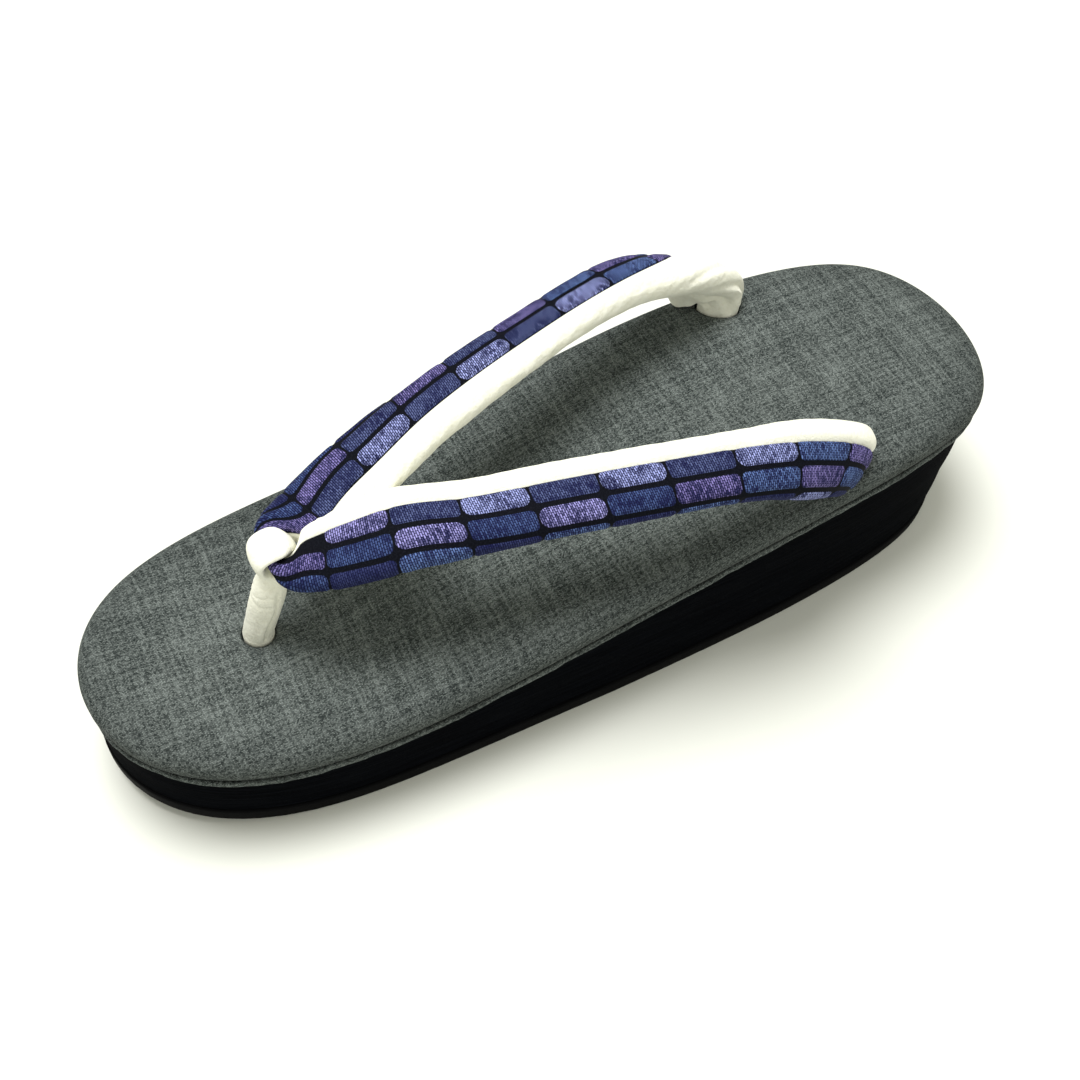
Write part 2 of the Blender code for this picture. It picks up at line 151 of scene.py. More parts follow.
# The toe post in units of POST_RADIUS: height above the footbed's top at the hole, how far it leans
# back, and its radius. Inside the hole it is straight and plain.
POST = {
    "rise": (-1.0, -0.05, 0.60, 1.50, 2.50, 4.20, 5.00, 5.70, 6.50),
    "lean": (0.0, 0.0, 0.16, 0.43, 0.71, 1.20, 1.43, 1.61, 1.71),
    "radius": (0.97, 0.97, 1.00, 1.03, 1.07, 1.10, 1.03, 0.86, 0.79),
}

# Creases round the post, in millimetres: height above the footbed, how far the line wavers, its
# waves for each radian and where they start, then depth and width.
CORD_CREASES = (
    (6.0, 0.6, 2.0, 0.0, 0.04, 0.6),
    (9.5, 0.7, 2.0, 1.0, 0.05, 0.6),
    (15.0, 0.9, 1.5, math.radians(90.0), 0.14, 0.6),
    (17.2, 0.6, 2.5, 1.0 - math.radians(90.0), 0.16, 0.5),
)

# The cloth's repeat, in millimetres: the length of a block and the height of a row, where the first
# whole block starts, how much the columns slant and at which depth they don't, how far a block's
# ends and sides keep from the lines between them, and how round light and dark blocks' corners are.
BLOCK_LENGTH = 15.25
BLOCK_HEIGHT = 6.4
FIRST_BLOCK = 17.8
COLUMN_SLANT = 0.12
SLANT_CENTRE = 8.5
END_GAP = 0.26
SIDE_GAP = 0.62
LIGHT_CORNER = 2.1
DARK_CORNER = 1.2

# The cover's relief, in millimetres: how far a block stands over the ground, how deep the ground
# lies, and how deep the cover's two edges are sewn in.
BLOCK_RELIEF = 0.34
GROUND_DEPTH = 0.14
SEAM_DEPTH = 0.40

# A thread's length, its breadth and the gap to the next one, in millimetres, on the footbed and on
# the cover's blocks.
FOOTBED_THREAD = (0.42, 0.28, 0.05)
COVER_THREAD = (1.1, 0.50, 0.12)

# How high over the footbed's lower edge lie its bead, which gets a painted highlight, and the groove
# above it, which gets painted shade.
BEAD_HIGHLIGHT_HEIGHT = 1.2
GROOVE_SHADE_HEIGHT = 2.8

# Each arm's chart: a row of blocks for each text, from the seam down, and a block for each yarn
# letter, from the toe. Then how far below the seam the second row starts, and how high that row is,
# both by distance along the arm.
HEIGHT_RUN = (3.0, 8.0, 17.0, 30.0, 156.0)
ROWS = {
    "near": {
        "chart": ("KLNWNWNWBP", "PSLSLSPBPB", "SVBVBVBVWV", "VSVSVSVSVS"),
        "run": (0.0, 8.0, 12.0, 17.0, 22.0, 30.0, 60.0, 156.0),
        "start": (1.8, 1.9, 2.3, 3.5, 4.4, 5.2, 5.6, 5.0),
        "height": (3.8, 4.2, 5.3, 6.0, 6.4),
    },
    "far": {
        "chart": ("PNWNWNWBPB", "SPNPNPBPBP", "VSVBVBVBVB", "SVSVSVSVSV"),
        "run": (0.0, 8.0, 12.0, 17.0, 30.0, 60.0, 156.0),
        "start": (6.2, 6.8, 5.6, 5.0, 6.0, 5.8, 5.0),
        "height": (4.2, 4.6, 5.6, 6.1, 6.4),
    },
}

# The yarns' colours, by letter, and the letters of the light ones.
YARNS = {
    "P": (0.245, 0.205, 0.500),
    "L": (0.385, 0.360, 0.760),
    "W": (0.395, 0.440, 0.840),
    "N": (0.100, 0.125, 0.270),
    "S": (0.070, 0.110, 0.270),
    "B": (0.135, 0.215, 0.480),
    "V": (0.042, 0.052, 0.145),
    "K": (0.003, 0.004, 0.008),
}
LIGHT_YARNS = "LW"


def smooth_curve(at, values):
    """A natural cubic through the points, as a function of one number or of an array."""
    at = np.array(at, float)
    values = np.array(values, float)
    count = len(at)
    step = np.diff(at)
    rate = np.diff(values) / step
    system = np.eye(count)
    right = np.zeros(count)
    for i in range(1, count - 1):
        system[i, i - 1] = step[i - 1]
        system[i, i] = 2.0 * (step[i - 1] + step[i])
        system[i, i + 1] = step[i]
        right[i] = 6.0 * (rate[i] - rate[i - 1])
    bend = np.linalg.solve(system, right)

    def value(where):
        i = np.clip(np.searchsorted(at, where) - 1, 0, count - 2)
        left = (at[i + 1] - where) / step[i]
        rest = 1.0 - left
        curved = ((left**3 - left) * bend[i] + (rest**3 - rest) * bend[i + 1]) * step[i] ** 2 / 6.0
        return left * values[i] + rest * values[i + 1] + curved

    return value


fullness_at = smooth_curve(SOLE["share"], SOLE["fullness"])
edge_share_at = smooth_curve(SOLE["share"], SOLE["edge"])


def edge_z(x):
    """The height of the footbed's lower edge."""
    return edge_share_at(np.clip(np.asarray(x) / LENGTH, 0.0, 1.0)) * EDGE_HEIGHT


def top_z(x):
    """The height of the footbed's top."""
    return edge_z(x) + FOOTBED_THICKNESS


def floor_z(x):
    """The height of the outsole's underside: flat, and curved up towards the toe."""
    share = np.asarray(x) / LENGTH
    return TOE_SPRING * np.clip(1.0 - share / SPRING_SHARE, 0.0, 1.0) ** 2


def outline(level, inset, count):
    """Points round the sole, at a level from 0 at the floor to 1 at the footbed, moved inwards."""
    turn = np.arange(count) * 2.0 * np.pi / count
    share = (1.0 - np.cos(turn)) / 2.0
    inside = np.interp(share, SOLE["share"], SOLE["inset"]) * (1.0 - level)
    x = share * (LENGTH - HEEL_UNDERCUT * (1.0 - level))
    y = np.sin(turn) * HALF_WIDTH * (fullness_at(share) - inside)
    along_x = np.roll(x, -1) - np.roll(x, 1)
    along_y = np.roll(y, -1) - np.roll(y, 1)
    size = np.hypot(along_x, along_y)
    return np.column_stack((x + inset * along_y / size, y - inset * along_x / size))


def run_along(points):
    """The distance from the first point to each point, along the line that they make."""
    return np.concatenate(([0.0], np.cumsum(np.linalg.norm(np.diff(points, axis=0), axis=1))))


def towards_middle(flat):
    """Directions from points of the sole's outline to its middle."""
    size = np.hypot(flat[:, 0] - LENGTH / 2.0, flat[:, 1])
    return np.column_stack((LENGTH / 2.0 - flat[:, 0], -flat[:, 1])) / size[:, None]


def hump(value, width):
    """A soft ridge of height 1 at 0."""
    return np.exp(-((np.asarray(value) / width) ** 2))


def step_up(value, low, high):
    """0 below low, 1 above high, smooth between."""
    t = np.clip((np.asarray(value, float) - low) / (high - low), 0.0, 1.0)
    return t * t * (3.0 - 2.0 * t)


def wander(value, seed, reach):
    """Smooth irregular waves of about unit size, the same on each run."""
    maker = np.random.default_rng(seed)
    total = np.zeros(np.shape(value))
    for k in range(7):
        rate = (0.6 + 0.45 * k + 0.3 * maker.random()) * 2.0 * np.pi / reach
        total = total + np.sin(np.asarray(value) * rate + maker.random() * 6.283) / (1.0 + 0.35 * k)
    return total / 2.2


def add_object(name, data):
    made = bpy.data.objects.new(name, data)
    bpy.context.scene.collection.objects.link(made)
    return made


def piece_from(name, points, faces, fields=None, angle=40.0):
    """A mesh object in the row frame from points with x at the toe, with its point fields."""
    data = bpy.data.meshes.new(name)
    points = np.array(points, float)
    points[:, 0] -= LENGTH / 2.0
    data.from_pydata(points.tolist(), [], faces)
    data.update()
    kinds = {1: ("FLOAT", "value"), 3: ("FLOAT_VECTOR", "vector"), 4: ("FLOAT_COLOR", "color")}
    for label, values in (fields or {}).items():
        kind, key = kinds[values.size // len(points)]
        data.attributes.new(label, kind, "POINT").data.foreach_set(key, values.ravel())
    tidy = bmesh.new()
    tidy.from_mesh(data)
    bmesh.ops.recalc_face_normals(tidy, faces=tidy.faces)
    tidy.to_mesh(data)
    tidy.free()
    data.shade_smooth()
    data.set_sharp_from_angle(angle=math.radians(angle))
    return add_object(name, data)


def ring_faces(rings, count):
    """The four-sided faces between closed rings of points."""
    faces = []
    for r in range(rings - 1):
        low = r * count
        for i in range(count):
            j = (i + 1) % count
            faces.append((low + i, low + j, low + count + j, low + count + i))
    return faces


def strip_cap(base, count):
    """Closes a ring that is symmetric in y with strips from side to side."""
    faces = [(base, base + 1, base + count - 1)]
    half = count // 2
    for i in range(1, half - 1):
        faces.append((base + i, base + i + 1, base + count - i - 1, base + count - i))
    faces.append((base + half - 1, base + half, base + half + 1))
    return faces


def capped_faces(rings, count):
    """The faces between rings that are symmetric in y, and of both ends."""
    return ring_faces(rings, count) + strip_cap(0, count) + strip_cap((rings - 1) * count, count)


def combine(target, tools, operation="DIFFERENCE"):
    """Cuts the tools out of a piece, or joins them to it, and removes them."""
    for tool in tools:
        change = target.modifiers.new("cut_" + tool.name, "BOOLEAN")
        change.operation = operation
        change.solver = "EXACT"
        change.object = tool
    bake_modifiers(target)
    for tool in tools:
        bpy.data.objects.remove(tool, do_unlink=True)


def bake_modifiers(target):
    """Puts the result of a piece's modifiers into its own mesh."""
    graph = bpy.context.evaluated_depsgraph_get()
    made = bpy.data.meshes.new_from_object(target.evaluated_get(graph), depsgraph=graph)
    old = target.data
    target.modifiers.clear()
    target.data = made
    made.name = target.name
    bpy.data.meshes.remove(old)


def oval_tool(name, flat, low, high):
    """An upright bar over a closed outline."""
    count = len(flat)
    points = [(x, y, low) for x, y in flat] + [(x, y, high) for x, y in flat]
    faces = ring_faces(2, count)
    faces.append(tuple(range(count)))
    faces.append(tuple(range(2 * count - 1, count - 1, -1)))
    return piece_from(name, points, faces)


def rounded(angle, half_long, half_thick):
    """Points of a rounded oblong section, by angle."""
    c = np.cos(angle)
    s = np.sin(angle)
    power = 2.0 / SECTION_FULLNESS
    long_way = half_long * np.sign(c) * np.abs(c) ** power
    thick_way = half_thick * np.sign(s) * np.abs(s) ** power
    return np.column_stack((long_way, thick_way))


def inwards(angle, half_long, half_thick, depth):
    """Points of that section, moved in from its edge by a depth for each point."""
    nudge = 0.01
    ahead = rounded(angle + nudge, half_long, half_thick)
    behind = rounded(angle - nudge, half_long, half_thick)
    along = ahead - behind
    size = np.hypot(along[:, 0], along[:, 1])[:, None]
    normal = np.column_stack((along[:, 1], -along[:, 0])) / size
    return rounded(angle, half_long, half_thick) - np.asarray(depth)[..., None] * normal


def hole_tools():
    """The toe-post hole and the two strap slots, from above the footbed down into the wedge."""
    count = 64
    turn = np.arange(count) * 2.0 * np.pi / count
    height = 2.2 * POCKET_DEPTH
    radius = POST_RADIUS + CLEARANCE
    circle = np.column_stack((POST_X + radius * np.cos(turn), radius * np.sin(turn)))
    low = float(top_z(POST_X)) - POCKET_DEPTH - CLEARANCE
    tools = [oval_tool("post_hole_tool", circle, low, low + height)]
    oval = rounded(turn, SLOT_HALF_LENGTH, SLOT_HALF_WIDTH)
    oval = oval * (1.0 + CLEARANCE / np.hypot(oval[:, 0], oval[:, 1]))[:, None]
    low = float(top_z(SLOT_X)) - POCKET_DEPTH - CLEARANCE
    for name, side in (("far_slot_tool", 1.0), ("near_slot_tool", -1.0)):
        x = SLOT_X + oval[:, 0] * SLOT_COSINE - oval[:, 1] * SLOT_SINE
        y = side * (SLOT_Y + oval[:, 0] * SLOT_SINE + oval[:, 1] * SLOT_COSINE)
        tools.append(oval_tool(name, np.column_stack((x, y)), low, low + height))
    return tools


def hole_distance(x, y):
    """Distance outside the nearest hole's edge on the footbed."""
    post = np.hypot(x - POST_X, y) - POST_RADIUS
    along = (x - SLOT_X) * SLOT_COSINE + (np.abs(y) - SLOT_Y) * SLOT_SINE
    over = -(x - SLOT_X) * SLOT_SINE + (np.abs(y) - SLOT_Y) * SLOT_COSINE
    scale = np.hypot(along / SLOT_HALF_LENGTH, over / SLOT_HALF_WIDTH)
    slot = (scale - 1.0) * np.hypot(along, over) / np.maximum(scale, 1e-6)
    return np.minimum(post, slot)


def outline_distance(points):
    """How far inside the sole's outline each point lies, in mm."""
    rim = outline(1.0, 0.0, RIM_COUNT)
    found = np.empty(len(points))
    for low in range(0, len(points), 4000):
        part = points[low:low + 4000, None, :2] - rim[None, :, :]
        found[low:low + 4000] = np.sqrt((part ** 2).sum(axis=2).min(axis=1))
    return found / MM


def footbed_profile():
    """The footbed's side from the lower edge up over the shoulder: inset and height, in metres."""
    inset_of = smooth_curve(np.linspace(0.0, 1.0, 8), FOOTBED_EDGE["inset"])
    rise_of = smooth_curve(np.linspace(0.0, 1.0, 8), FOOTBED_EDGE["rise"])
    fine = np.linspace(0.0, 1.0, 27)
    profile = [(inset_of(t) * FOOTBED_THICKNESS, rise_of(t) * FOOTBED_THICKNESS) for t in fine]
    for turn in np.radians(np.linspace(6.0, 90.0, 15)):
        inset = SHOULDER_REACH * (1.0 - math.cos(turn))
        profile.append((inset, FOOTBED_THICKNESS - SHOULDER_DROP * (1.0 - math.sin(turn))))
    return np.array(profile)


def footbed_side(count):
    """Rings of points up the side, and where each point lies on the flat cloth."""
    profile = footbed_profile()
    lengths = np.hypot(np.diff(profile[:, 0]), np.diff(profile[:, 1]))
    unrolled = np.concatenate((np.cumsum(lengths[::-1])[::-1], [0.0]))
    rim = outline(1.0, SHOULDER_REACH, count)
    outer = outline(1.0, 0.0, count)
    outward = (outer - rim) / np.linalg.norm(outer - rim, axis=1)[:, None]
    run = run_along(outer)
    points = []
    cloth = []
    for k, (inset, rise) in enumerate(profile):
        low = 1.0 - step_up(rise, 1.5 * MM, 5.0 * MM)
        pucker = (0.10 * wander(run, 3, 0.013) + 0.12 * wander(run, 5, 0.05)) * MM * low
        flat = outline(1.0, inset, count) - outward * pucker[:, None]
        lift = wander(run, 8, 0.04) * 0.10 * MM * low * step_up(k, 0, 4)
        points.append(np.column_stack((flat, edge_z(flat[:, 0]) + rise + lift)))
        spread = rim + outward * unrolled[k]
        cloth.append(np.column_stack((spread, np.full(count, rise))))
    return points, cloth


def footbed_top(rim, across):
    """A grid of points between the rim's two sides: a little loose, and drawn in at the holes."""
    count = len(rim)
    share = (np.arange(1, across) / across)[:, None]
    rows = [rim[i] * (1.0 - share) + rim[count - i] * share for i in range(1, count // 2)]
    points = np.vstack(rows)
    x = points[:, 0]
    y = points[:, 1]
    away = hole_distance(x, y)
    sag = 0.9 * MM * np.exp(-np.clip(away, 0.0, None) / (1.1 * MM))
    sag += 0.35 * MM * hump(away, 5.0 * MM)
    loose = 0.12 * MM * wander(x, 11, 0.09) * np.sin(y * 60.0 + 1.0)
    loose *= step_up(HALF_WIDTH - np.abs(y), 2.0 * MM, 12.0 * MM)
    points[:, 2] = top_z(x) + loose - sag
    return points, np.column_stack((x, y, np.full(len(x), FOOTBED_THICKNESS)))


def top_faces(last, count, across):
    """The faces of that grid, between the ring that starts at point number last and itself."""
    faces = []
    before = None
    for i in range(1, count // 2):
        start = last + count + (i - 1) * (across - 1)
        row = [last + i] + list(range(start, start + across - 1)) + [last + count - i]
        for j in range(across):
            if before is None:
                faces.append((last, row[j], row[j + 1]))
            else:
                faces.append((before[j], row[j], row[j + 1], before[j + 1]))
        before = row
    end = last + count // 2
    return faces + [(before[j], end, before[j + 1]) for j in range(across)]


def footbed_cloth():
    """Side rings from the lower edge up over the shoulder, then a fine grid over the top."""
    across = 96
    points, cloth = footbed_side(RIM_COUNT)
    rings = len(points)
    faces = ring_faces(rings, RIM_COUNT) + strip_cap(0, RIM_COUNT)
    faces += top_faces((rings - 1) * RIM_COUNT, RIM_COUNT, across)
    top_points, top_cloth = footbed_top(points[-1], across)
    points = np.vstack(points + [top_points])
    cloth = np.vstack(cloth + [top_cloth])
    edge = outline_distance(points)
    fall = 0.7 * MM * np.clip(1.0 - edge / 12.0, 0.0, 1.0) ** 2
    points[:, 2] -= fall * step_up(cloth[:, 2], 3.0 * MM, 10.4 * MM)
    made = piece_from("footbed_cloth", points, faces, {"cloth": cloth / MM, "edge": edge})
    combine(made, hole_tools())
    return made


def wedge_wrap():
    """The cloth round the wedge, with soft lengthwise ribs."""
    count = 600
    rings = []
    cloth = []
    low = OUTSOLE_THICKNESS + CLEARANCE
    edge = (0.0, 0.004, 0.012, 0.03)
    shares = np.concatenate((edge, np.linspace(0.05, 0.95, 46), [0.97, 0.988, 0.996, 1.0]))
    for share in shares:
        level = RUBBER_LEVEL + (1.0 - RUBBER_LEVEL) * share
        rounding = np.interp(min(share, 1.0 - share), edge + (0.05,), (1.0, 0.52, 0.22, 0.05, 0.0))
        inset = WALL_INSET * level + WRAP_INSET + rounding * EDGE_ROUNDING
        flat = outline(level, inset, count)
        run = run_along(flat)
        below = floor_z(flat[:, 0]) + low
        above = edge_z(flat[:, 0]) - CLEARANCE
        height = share * (above - below)
        wave = 0.16 * MM * np.sin(height / (2.6 * MM) + 1.3 * wander(run, 21, 0.16))
        wave = wave * step_up(share, 0.02, 0.12) * (1.0 - step_up(share, 0.88, 0.98))
        flat = flat + towards_middle(flat) * (wave + 0.10 * MM)[:, None]
        rings.append(np.column_stack((flat, below + height)))
        cloth.append(np.column_stack((flat, height)))
    faces = capped_faces(len(rings), count)
    made = piece_from("wedge_wrap", np.vstack(rings), faces, {"cloth": np.vstack(cloth) / MM})
    combine(made, hole_tools())
    return made


def tread_tool():
    """Shallow cross grooves, wavy across the sole, as one mesh of narrow bars."""
    points = []
    faces = []
    columns = 24
    reach = 45.0 * MM
    y = np.linspace(-reach, reach, columns)
    for x in np.arange(14.0, 236.0, GROOVE_PITCH) * MM:
        base = len(points)
        bent = x + 1.2 * MM * np.sin(y / (4.5 * MM))
        for j in range(columns):
            for dx, dz in ((-0.55, -1.5), (-0.45, 0.55), (0.45, 0.55), (0.55, -1.5)):
                height = float(floor_z(bent[j] + dx * MM))
                points.append((bent[j] + dx * MM, y[j], height + dz * MM))
        for j in range(columns - 1):
            for k in range(4):
                a = base + 4 * j + k
                b = base + 4 * j + (k + 1) % 4
                faces.append((a, b, b + 4, a + 4))
        faces.append((base, base + 1, base + 2, base + 3))
        end = base + 4 * (columns - 1)
        faces.append((end + 3, end + 2, end + 1, end))
    return piece_from("tread_tool", points, faces)


def outsole_rubber():
    """The rubber sole with a slightly rough side, grooved below."""
    count = 520
    rings = []
    lower_edge = ((0.9, 0.0), (0.5, 0.01), (0.26, 0.04), (0.06, 0.10), (0.0, 0.16))
    upper_edge = tuple((inset, 1.0 - rise) for inset, rise in lower_edge[::-1])
    for inset, rise in lower_edge + ((0.0, 0.5),) + upper_edge:
        level = RUBBER_LEVEL * rise
        flat = outline(level, WALL_INSET * level + inset * MM, count)
        run = run_along(flat)
        rough = 0.05 * MM * (1.0 + wander(run, 31, 0.007)) * hump(rise - 0.5, 0.5)
        flat = flat + towards_middle(flat) * rough[:, None]
        rings.append(np.column_stack((flat, floor_z(flat[:, 0]) + rise * OUTSOLE_THICKNESS)))
    faces = capped_faces(len(rings), count)
    made = piece_from("outsole_rubber", np.vstack(rings), faces)
    combine(made, [tread_tool()])
    return made


def arm_path(count, side):
    """Stations of one arm from the middle plane to its end: frames, half sizes, share of its run."""
    table = np.array(ARM) * HALF_WIDTH
    table[:, [0, 3]] *= LENGTH / HALF_WIDTH
    inner, outer, thick = table[:, :3], table[:, 3:6], table[:, 6]
    middle = (inner + outer) / 2.0
    run = run_along(middle)
    at = np.linspace(run[1], run[-1], count)
    inner = np.column_stack([smooth_curve(run, inner[:, k])(at) for k in range(3)])
    outer = np.column_stack([smooth_curve(run, outer[:, k])(at) for k in range(3)])
    thick = smooth_curve(run, thick)(at)
    if side < 0.0:
        last = np.clip((at / run[-1] - NEAR_END_FROM) / (1.0 - NEAR_END_FROM), 0.0, 1.0)
        largest = 4.0 / 27.0
        bulge = NEAR_END_REACH * last**2 * (1.0 - last) / largest
        inner[:, 0] += bulge
        outer[:, 0] += 0.5 * bulge
    middle = (inner + outer) / 2.0
    along = np.gradient(middle, axis=0)
    wide = outer - inner
    half = np.linalg.norm(wide, axis=1) / 2.0
    wide /= 2.0 * half[:, None]
    thin = np.cross(along, wide)
    thin /= np.linalg.norm(thin, axis=1)[:, None]
    return middle, wide, thin, half, thick, at / run[-1]


def slot_path(keep):
    """The straight end of an arm, from just above the footbed down into the slot."""
    wide = np.array((-SLOT_COSINE, -SLOT_SINE, 0.0))
    thin = np.array((-SLOT_SINE, SLOT_COSINE, 0.0))
    top = float(top_z(SLOT_X))
    middles = np.array([(SLOT_X, SLOT_Y, top + rise * POCKET_DEPTH) for rise in SLOT_RISES[:keep]])
    count = len(middles)
    half = np.full(count, SLOT_HALF_LENGTH)
    thick = np.full(count, SLOT_HALF_WIDTH)
    return middles, np.tile(wide, (count, 1)), np.tile(thin, (count, 1)), half, thick, np.ones(count)


def arm_frames(count, keep, side):
    """The stations of arm_path and slot_path together, with the run in millimetres."""
    frames = [np.concatenate((a, b)) for a, b in zip(arm_path(count, side), slot_path(keep))]
    return frames + [run_along(frames[0]) / MM + FIRST_RUN]


def cover_angles(share, side):
    """Where the cover starts and ends round the section, in radians."""
    arm = "far" if side > 0.0 else "near"
    start = smooth_curve(COVER["share"], COVER[arm + "_start"])(share)
    end = smooth_curve(COVER["share"], COVER[arm + "_end"])(share)
    return math.radians(start), math.radians(min(end, 179.0))


def arc_angles(low, high, half, thick, count):
    """Angles at even steps along the section's edge, and the distance from the first, in mm."""
    dense = np.linspace(low, high, 400)
    flat = rounded(dense, half, thick)
    run = run_along(flat)
    at = np.linspace(0.0, run[-1], count)
    return np.interp(at, run, dense), at / MM


def both_arms(name, arm, fields=None, angle=40.0):
    """One loft from the far arm's end over the middle to the near arm's end, with its point fields."""
    rings, values = arm(1.0)
    other, others = arm(-1.0)
    flipped = [np.column_stack((ring[:, 0], -ring[:, 1], ring[:, 2])) for ring in other]
    rings = rings[::-1] + flipped[1:]
    values = values[::-1] + others[1:]
    count = len(rings[0])
    faces = ring_faces(len(rings), count)
    points = np.vstack(rings)
    ends = []
    for base in (0, (len(rings) - 1) * count):
        centre = len(points) + len(ends)
        ends.append(points[base:base + count].mean(axis=0))
        faces += [(base + i, base + (i + 1) % count, centre) for i in range(count)]
    points = np.vstack((points, ends))
    if fields:
        stacked = np.vstack(values)
        stacked = np.vstack((stacked, stacked[:1], stacked[-1:]))
        fields = {label: stacked[:, columns] for label, columns in fields.items()}
    return piece_from(name, points, faces, fields, angle)


# Troughs in the felt near an arm's end, in millimetres: distance from the top seam where the felt
# is FELT_BREADTH broad, its change for each millimetre towards the front, then depth, width and how
# far they run up the arm. The near arm has only the lower ones.
FELT_BREADTH = 19.0
FELT_TROUGHS = (
    (3.4, -0.06, 0.50, 1.0, 18.0),
    (6.4, 0.05, 0.90, 1.2, 34.0),
    (9.0, 0.12, 1.25, 1.1, 19.0),
    (12.3, 0.10, 0.95, 1.3, 36.0),
    (15.6, -0.12, 0.55, 1.2, 18.0),
)


def padding_arm(side):
    """Rings of one arm of the lining: sunk under the cover, full and creased where it is bare."""
    stations = 250
    sunk_count = 20
    bare_count = 56
    middle, wide, thin, half, thick, share, run = arm_frames(stations, len(SLOT_RISES), side)
    end_run = run[stations]
    rings = []
    seed = 40 if side > 0.0 else 60
    for i in range(len(middle)):
        start, end = cover_angles(share[i], side)
        under = np.linspace(start, end, sunk_count)
        sunk = inwards(under, half[i], thick[i], np.full(sunk_count, COVER_WALL + CLEARANCE))
        angles, arc = arc_angles(end, start + 2.0 * np.pi, half[i], thick[i], bare_count)
        total = arc[-1]
        beside = np.minimum(arc, total - arc)
        depth = 0.55 * hump(beside, 0.75) - 0.28 * hump(beside - 2.4, 1.5)
        depth = depth - 0.10 * wander(run[i], seed, 34.0) * step_up(beside, 0.5, 3.0)
        dimple = 0.07 * np.sin(arc * 1.9 + run[i] * 0.35) * np.sin(run[i] * 0.8)
        depth = depth + dimple * step_up(beside, 0.5, 2.0)
        back = end_run - run[i]
        for k, (place, slope, deep, width, reach) in enumerate(FELT_TROUGHS):
            if side < 0.0 and k < 2:
                continue
            line = place * total / FELT_BREADTH + slope * back
            line += 0.5 * math.sin(back * 0.21 + k + seed)
            strength = step_up(reach - back, 0.0, reach * 0.8) * step_up(back + 1.0, -1.0, 2.5)
            trough = hump(arc - line, width) - 0.25 * hump(arc - line - 1.8, 1.2)
            depth = depth + strength * deep * trough
        hang = FAR_END_HANG * hump(back - 6.5, 6.0) * step_up(back, 0.5, 4.0) if side > 0.0 else 0.0
        low = run[i] > end_run + 0.5
        bare = inwards(angles, half[i], thick[i], np.zeros(bare_count) if low else depth * MM)
        flat = np.vstack((sunk[:-1], bare[:-1]))
        ring = middle[i] + flat[:, :1] * wide[i] + flat[:, 1:] * thin[i]
        height = (ring[:, 2] - ring[:, 2].min()) / max(np.ptp(ring[:, 2]), 1.0 * MM)
        ring[:, 2] -= hang * np.clip(1.0 - 2.0 * height, 0.0, 1.0)
        rings.append(ring)
    return rings, []


def row_edges(run, rows):
    """How far below the seam the second and the third row of blocks start, in millimetres."""
    start = np.interp(run, rows["run"], rows["start"])
    return start, start + np.interp(run, HEIGHT_RUN, rows["height"])


def block_at(run, down, rows):
    """The block that a point of the cloth is in: distance inside its edge, and its yarn."""
    upper, lower = row_edges(run, rows)
    edges = (upper - BLOCK_HEIGHT, upper, lower, lower + BLOCK_HEIGHT, lower + 2.0 * BLOCK_HEIGHT)
    slid = run + COLUMN_SLANT * (down - SLANT_CENTRE) - FIRST_BLOCK
    column = np.clip(np.floor(slid / BLOCK_LENGTH).astype(int) + 1, 0, 9)
    off = slid - BLOCK_LENGTH * (column - 0.5)
    inside = np.full(np.shape(down), -1.0)
    colour = np.tile(np.array(YARNS["K"]), (len(down), 1))
    for r in range(4):
        low = edges[r]
        high = edges[r + 1]
        here = (down >= low) & (down < high)
        if not here.any():
            continue
        centre = (low + high) / 2.0
        half_high = (high - low) / 2.0 - SIDE_GAP
        letters = np.array(list(rows["chart"][r]))[column]
        corner = np.where(np.isin(letters, list(LIGHT_YARNS)), LIGHT_CORNER, DARK_CORNER)
        past_x = np.abs(off) - (BLOCK_LENGTH / 2.0 - END_GAP - corner)
        past_y = np.abs(down - centre) - (half_high - corner)
        outside = np.hypot(np.maximum(past_x, 0.0), np.maximum(past_y, 0.0))
        outside = np.minimum(np.maximum(past_x, past_y), 0.0) + outside - corner
        inside = np.where(here & (letters != "K"), -outside, inside)
        for letter, shade in YARNS.items():
            colour[here & (letters == letter)] = shade
    return inside, colour


# Which of the columns of numbers that brocade_arm gives each field of the cloth takes.
COVER_FIELDS = {"run": [0], "down": [1], "inside": [2], "yarn": [3, 4, 5, 6]}


def brocade_arm(side):
    """Rings of one arm of the cover, its woven blocks raised, with the fields of its cloth."""
    stations = 366
    columns = 66
    back_columns = 8
    middle, wide, thin, half, thick, share, run = arm_frames(stations, COVER_SLOT_STATIONS, side)
    rows = ROWS["far" if side > 0.0 else "near"]
    rings = []
    values = []
    for i in range(len(middle)):
        start, end = cover_angles(share[i], side)
        slack = CLEARANCE / (0.9 * half[i])
        angles, down = arc_angles(end - slack, start + slack, half[i], thick[i], columns)
        inside, colour = block_at(np.full(columns, run[i]), down, rows)
        rise = BLOCK_RELIEF * step_up(inside, -0.25, 0.85) - GROUND_DEPTH
        beside = np.minimum(down, down[-1] - down)
        rise = rise - SEAM_DEPTH * hump(beside, 0.55)
        rise = rise + 0.05 * wander(run[i], 71, 21.0)
        outside = inwards(angles, half[i], thick[i], -rise * MM)
        hidden = np.linspace(start + slack, end - slack, back_columns)
        inside_wall = inwards(hidden, half[i], thick[i], np.full(back_columns, COVER_WALL))
        flat = np.vstack((outside, inside_wall))
        rings.append(middle[i] + flat[:, :1] * wide[i] + flat[:, 1:] * thin[i])
        back = np.tile((0.0, -1.0) + YARNS["K"], (back_columns, 1))
        field = np.vstack((np.column_stack((down, inside, colour)), back))
        values.append(np.column_stack((np.full(len(field), run[i]), field, np.ones(len(field)))))
    return rings, values


